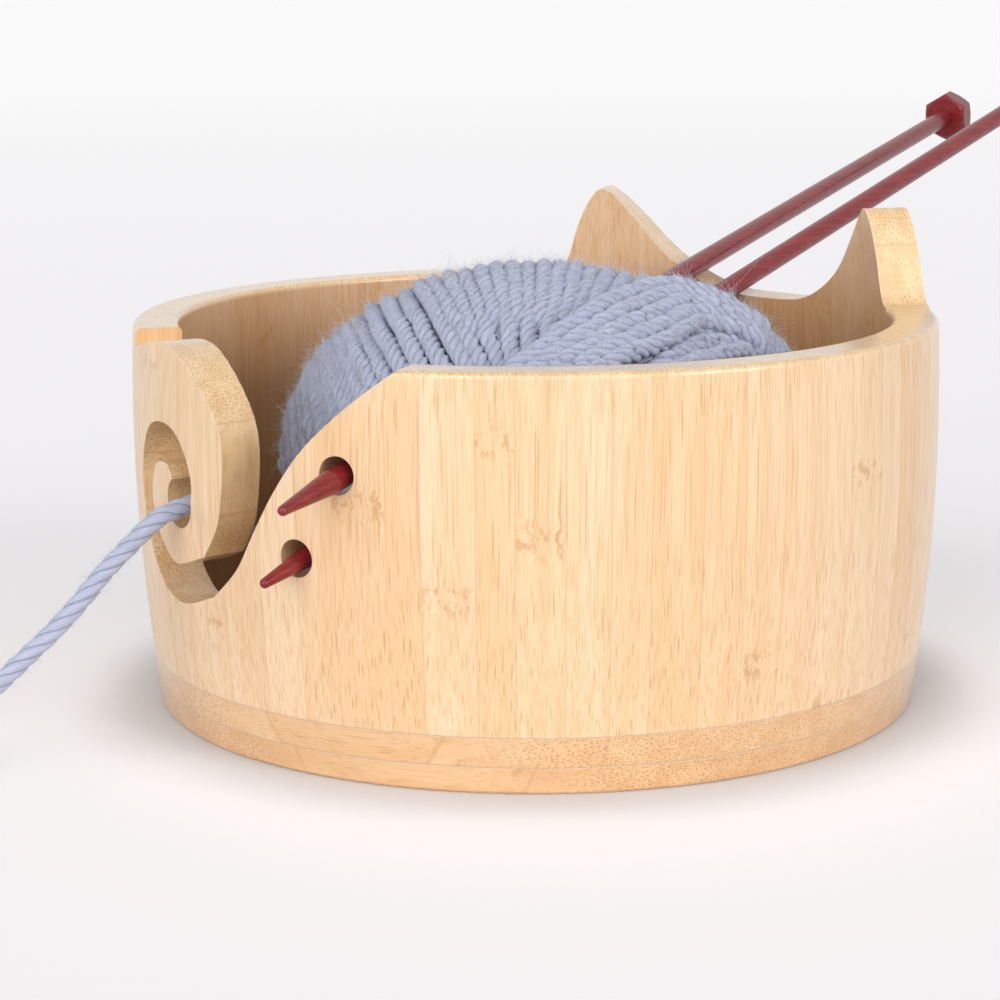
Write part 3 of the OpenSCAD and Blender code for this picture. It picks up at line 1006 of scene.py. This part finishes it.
@dataclass
class Skein:
    """The skein as the photograph shows it, wound in three ways.

    Seen from the camera, steep turns lie side by side on the left, they fan out over the top to
    the right, and a band of strands lies across the right side over all of them.
    """

    finish: bpy.types.Material
    shade_finish: bpy.types.Material
    fluff_lit_finish: bpy.types.Material
    camera: PhotoCamera
    room: NeedleRoom = NeedleRoom()
    middle: Point = (0.0, 0.0, 48.15)
    half: Point = (52.0, 52.0, 38.75)
    lump_middle: Point = (19.5, 19.0, 56.9)
    lump_r: float = 26.0
    lump_blend: float = 1.5
    lowest_z: float = 13.0
    strand_gap: float = 3.9
    steep_slope: tuple[float, float] = (62.0, 80.0)
    fan_slope: tuple[float, float] = (62.0, 214.0)
    fan_step: float = 4.8
    fan_offset: float = 2.0
    fan_dive: float = 3.6
    fan_pole: float = 38.0
    bands: tuple[YarnBand, ...] = (
        YarnBand(5, 2.6, ((24, -44, 62), (29, -31, 73), (30, -20, 78), (29.5, -7, 82), (27.5, 8, 82.5),
                          (32, 14, 81.5), (37, 18, 79), (41, 22, 74), (44, 26, 66)),
                 ((36, -36, 62), (39.5, -24, 71), (40.5, -16, 73.5), (41, -6, 75), (39, 3, 76.5),
                  (38.5, 8, 77), (40, 13, 76), (42.5, 18, 73), (45.5, 23, 66))),
        YarnBand(4, 0.6, ((37, -14, 74), (37, -2, 77), (37, 8, 78.5),
                          (39, 17, 77), (42, 26, 72), (44, 34, 62)),
                 ((45, -14, 69), (44, -2, 71.5), (43.5, 8, 72),
                  (43, 16, 72), (43.5, 24, 68), (44, 32, 60))),
    )
    band_dip: float = 4.5
    twist: PlyTwist = PlyTwist()
    unevenness: float = 0.16
    core_depth: float = 3.4
    hairs: tuple[HairKind, ...] = (HairKind(3000, 1.0, 3.5, 8), HairKind(50000, 0.4, 1.3, 3))
    hairs_above: float = 45.0
    seed: int = 11

    def __post_init__(self) -> None:
        """Starts the source of chance."""
        self.rng = np.random.default_rng(self.seed)

    def reach(self, origin: np.ndarray, ways: np.ndarray) -> np.ndarray:
        """Distance from a point inside the skein to its outside.

        Args:
            origin: the starting point.
            ways: unit directions.

        Returns:
            One distance for each direction.
        """
        half = np.array(self.half)
        o, d = (origin - np.array(self.middle)) / half, ways / half
        a, b, c = (d * d).sum(1), 2 * (d @ o), o @ o - 1
        ball = (-b + np.sqrt(np.maximum(b * b - 4 * a * c, 0))) / (2 * a)
        rel = origin - np.array(self.lump_middle)
        b, c = 2 * (ways @ rel), rel @ rel - self.lump_r ** 2
        disc = b * b - 4 * c
        lump = np.where(disc > 0, (-b + np.sqrt(np.maximum(disc, 0))) / 2, 0.0)
        return self.lump_blend * np.logaddexp(ball / self.lump_blend, lump / self.lump_blend)

    def outward(self, points: np.ndarray) -> np.ndarray:
        """Finds which way is out of the skein.

        Args:
            points: points near its outside.

        Returns:
            A unit direction for each.
        """
        ball = (points - np.array(self.middle)) / np.array(self.half) ** 2
        lump = points - np.array(self.lump_middle)
        off = np.abs(np.linalg.norm(lump, axis=1) - self.lump_r)
        share = (1 - soft_step(off, 0.5, 2.5))[:, None]
        return unit(unit(ball) * (1 - share) + unit(lump) * share)

    def plane_turn(self, slope: float, offset: float, start: float, end: float) -> np.ndarray:
        """A turn of yarn in a plane that holds the camera's line of sight.

        Args:
            slope: the turn's slope in the picture: 90 is upright, less leans to the left.
            offset: the plane's distance from the skein's middle, to the left.
            start: where the turn starts: 0 faces the camera, 90 is its upper side.
            end: where it ends.

        Returns:
            The turn's points on the skein's outside.
        """
        right, up, ahead = (np.array(a) for a in self.camera.axes())
        s = math.radians(slope)
        rise = -math.cos(s) * right + math.sin(s) * up
        left = -math.sin(s) * right - math.cos(s) * up
        origin = np.array(self.middle) + offset * left
        angles = np.radians(np.linspace(start, end, 220))
        ways = np.outer(np.cos(angles), -ahead) + np.outer(np.sin(angles), rise)
        return origin + self.reach(origin, ways)[:, None] * ways

    def settle(self, line: np.ndarray, depth: Union[float, np.ndarray]) -> np.ndarray:
        """Sinks a line into the outside, clears the needles and roughens it a little.

        Args:
            line: points on the outside.
            depth: how deep the strand's middle lies.

        Returns:
            The strand's centre line, evenly spread.
        """
        line = line - np.asarray(depth).reshape(-1, 1) * self.outward(line)
        step = max(1, len(line) // 45)
        knots = line[::step]
        knots = knots + self.rng.normal(0, self.unevenness, knots.shape)
        knots = self.room.clear(knots, self.twist.radius)
        line = smooth_line(knots, self.twist.spacing)
        return line[line[:, 2] > self.lowest_z]

    def steep_turns(self) -> list[np.ndarray]:
        """Winds the turns on the left side.

        Returns:
            Their centre lines.
        """
        lines = []
        step = math.degrees(self.strand_gap / self.half[0])
        for k, tilt in enumerate(np.arange(5.0, 82.0, step)):
            share = float(soft_step(np.array(tilt), 20.0, 60.0))
            slope = self.steep_slope[0] + share * (self.steep_slope[1] - self.steep_slope[0])
            line = self.plane_turn(slope, self.half[0] * math.sin(math.radians(tilt)), -80.0, 250.0)
            lines.append(self.settle(line, self.twist.radius + 0.5 * (k % 3 == 1)))
        return lines

    def fan_turns(self) -> list[np.ndarray]:
        """Winds the turns that fan out over the top to the right.

        Every other one dives under its neighbours where the fan narrows.

        Returns:
            Their centre lines.
        """
        lines = []
        start, end = 12.0, 168.0
        for k, slope in enumerate(np.arange(self.fan_slope[0], self.fan_slope[1], self.fan_step)):
            line = self.plane_turn(slope, self.fan_offset, start, end)
            angles = np.linspace(start, end, len(line))
            narrow = 1 - soft_step(np.minimum(angles, 180 - angles), self.fan_pole - 14, self.fan_pole + 4)
            depth = self.twist.radius + (self.fan_dive * narrow if k % 2 else 0.25 * (k % 4 == 2))
            lines.append(self.settle(line, depth))
        return lines

    def band_strands(self) -> list[np.ndarray]:
        """Lays the bands' strands across the right side.

        Returns:
            Their centre lines.
        """
        lines = []
        t = np.linspace(0, 1, 60)
        middle = np.array(self.middle)
        for band in self.bands:
            upper, lower = band.edges(len(t))
            for share in np.linspace(0, 1, band.strands):
                ways = unit((1 - share) * upper + share * lower - middle)
                line = middle + self.reach(middle, ways)[:, None] * ways
                lift = band.lift - self.band_dip * soft_step(np.abs(t - 0.5), 0.36, 0.5)
                lines.append(self.settle(line, -lift))
        return lines

    def build_core(self) -> None:
        """Builds the inside, which shows between the turns."""
        rows, columns = 30, 60
        middle = np.array(self.middle)
        turn = np.arange(columns) / columns * 2 * math.pi
        rings = []
        for tilt in np.linspace(-math.pi / 2, math.pi / 2, rows + 1)[1:-1]:
            ways = np.column_stack([math.cos(tilt) * np.cos(turn), math.cos(tilt) * np.sin(turn),
                                    np.full(columns, math.sin(tilt))])
            ring = middle + (self.reach(middle, ways) - self.core_depth)[:, None] * ways
            ring[:, 2] = np.maximum(ring[:, 2], self.lowest_z - 1.5)
            rings.append(ring)
        mesh = YarnMesh()
        mesh.add_tubes(np.array(rings)[None])
        mesh.build("skein_core", self.shade_finish, "yarn_skein")

    def build_fuzz(self, lines: list[np.ndarray]) -> None:
        """Builds the loose hairs.

        Args:
            lines: the strands' centre lines.
        """
        rng = self.rng
        every = np.vstack(lines)
        every = every[every[:, 2] > self.hairs_above]
        mesh = YarnMesh()
        for kind in self.hairs:
            roots = every[rng.integers(0, len(every), kind.count)]
            out = self.outward(roots)
            ways = unit(out * 0.7 + rng.normal(0, 0.7, (kind.count, 3)))
            bends = rng.normal(0, 1.0, (kind.count, 3)) - 0.5 * out
            mesh.add_hairs(roots + unit(out + 0.6 * ways) * self.twist.radius * 0.8, ways, bends,
                           rng.uniform(kind.least, kind.most, kind.count), kind.radius, kind.steps)
        # The hairs get the paler copy of the yarn, a painted halo of light
        mesh.build("skein_fuzz", self.fluff_lit_finish, "yarn_skein")

    def build(self) -> None:
        """Builds the skein."""
        lines = [*self.steep_turns(), *self.fan_turns(), *self.band_strands()]
        mesh = YarnMesh()
        for line in lines:
            rings = self.twist.rings(line, self.rng.uniform(0, 2 * math.pi))
            mesh.add_tubes(rings[None], self.twist.places(len(line), self.rng.uniform(0, 500)))
        strands = mesh.build("skein_strands", self.finish, "yarn_skein")
        self.build_fuzz(lines)
        self.build_core()
        log.info("skein: %d strands, %d faces", len(lines), len(strands.data.polygons))


@dataclass
class Bowl:
    """The bamboo bowl and the needles: their solids keep their shape and get their finishes."""

    finishes: Finishes
    carved: tuple[str, ...] = ("spiral_panel", "needle_panel")
    crisp_angle: float = 28.0

    def soft_curves(self) -> bpy.types.NodeTree:
        """Shades the routed curves as one round face each, and keeps their edges crisp.

        Returns:
            The tree of the modifier that does so.
        """
        tree = bpy.data.node_groups.new("soft_curves", "GeometryNodeTree")
        for way in ("INPUT", "OUTPUT"):
            tree.interface.new_socket("Geometry", in_out=way, socket_type="NodeSocketGeometry")
        start, joined, plain, smooth, crisp, angle, over, end = (tree.nodes.new(kind) for kind in (
            "NodeGroupInput", "GeometryNodeMergeByDistance", "GeometryNodeRemoveAttribute",
            "GeometryNodeSetShadeSmooth", "GeometryNodeSetShadeSmooth", "GeometryNodeInputMeshEdgeAngle",
            "FunctionNodeCompare", "NodeGroupOutput"))
        joined.inputs["Distance"].default_value = 0.001 * MM
        plain.inputs["Name"].default_value = "custom_normal"
        smooth.domain = "FACE"
        crisp.domain = "EDGE"
        crisp.inputs["Shade Smooth"].default_value = False
        over.operation = "GREATER_THAN"
        over.inputs[1].default_value = math.radians(self.crisp_angle)
        for first, second in zip((start, joined, plain, smooth, crisp), (joined, plain, smooth, crisp, end)):
            tree.links.new(first.outputs[0], second.inputs[0])
        tree.links.new(angle.outputs[0], over.inputs[0])
        tree.links.new(over.outputs[0], crisp.inputs["Selection"])
        return tree

    def finish_of(self, name: str) -> Optional[bpy.types.Material]:
        """Picks the finish of a solid.

        Args:
            name: the solid's name.

        Returns:
            Its finish, or None for the yarn, which has its own pieces.
        """
        if name.startswith("needle_") and name != "needle_panel":
            return self.finishes.needle
        if name.startswith("yarn_"):
            return None
        plies = {"base_upper_ply": self.finishes.upper_ply, "base_lower_ply": self.finishes.lower_ply}
        return plies.get(name, self.finishes.wall)

    def build(self) -> None:
        """Dresses the solids."""
        dressed = 0
        for name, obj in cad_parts.items():
            finish = self.finish_of(name)
            if finish is not None:
                dress(obj, finish)
                dressed += 1
        curves = self.soft_curves()
        for name in self.carved:
            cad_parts[name].modifiers.new("soft_curves", "NODES").node_group = curves
        log.info("bowl and needles: %d solids dressed", dressed)


def main() -> None:
    """Builds the camera and the yarn's free end first, then the rest."""
    logging.basicConfig(level=logging.INFO, format="%(message)s")
    camera = PhotoCamera()
    camera.build()
    finishes = Finishes.build()
    FreeEnd(finishes.yarn).build()
    Studio(camera.heading).build()
    Bowl(finishes).build()
    Skein(finishes.yarn, finishes.yarn_shade, finishes.yarn_fluff, camera).build()


if __name__ == "__main__":
    main()
